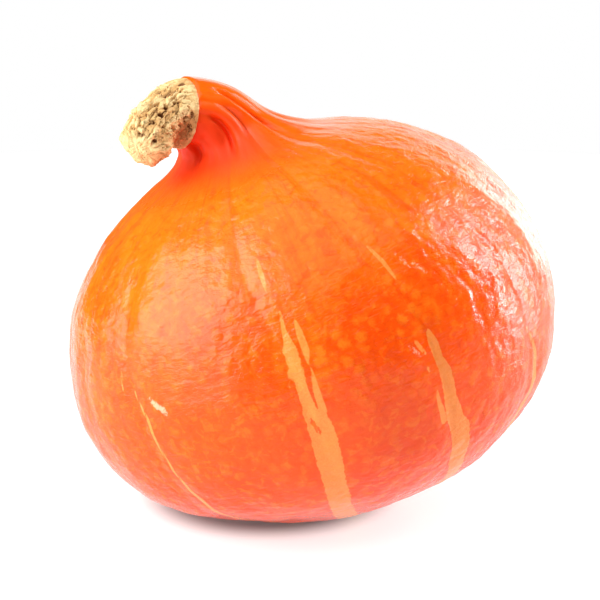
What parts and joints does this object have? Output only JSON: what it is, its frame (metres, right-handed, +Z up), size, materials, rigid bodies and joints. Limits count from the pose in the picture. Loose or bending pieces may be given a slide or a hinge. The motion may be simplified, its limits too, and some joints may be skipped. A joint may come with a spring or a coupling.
{
  "type": "pumpkin",
  "caption": "Onion-shaped orange winter squash with a bent, fluted neck and a corky stub of stem, lying on a small flat spot.",
  "frame": {"origin": "middle of the flat spot under the fruit that it rests on", "axes": "+Z up, square to the resting spot; +X to the right, away from the bent neck; -Y to the front, the side shown in the picture"},
  "size_m": [0.1607, 0.1637, 0.1419],
  "materials": {
    "rind": "waxy, finely pebbled orange rind with pale orange stripes",
    "cork": "dry, cracked, straw-coloured cork"
  },
  "bodies": {
    "root": {"fruit": "rind", "stem": "cork"}
  },
  "joints": []
}
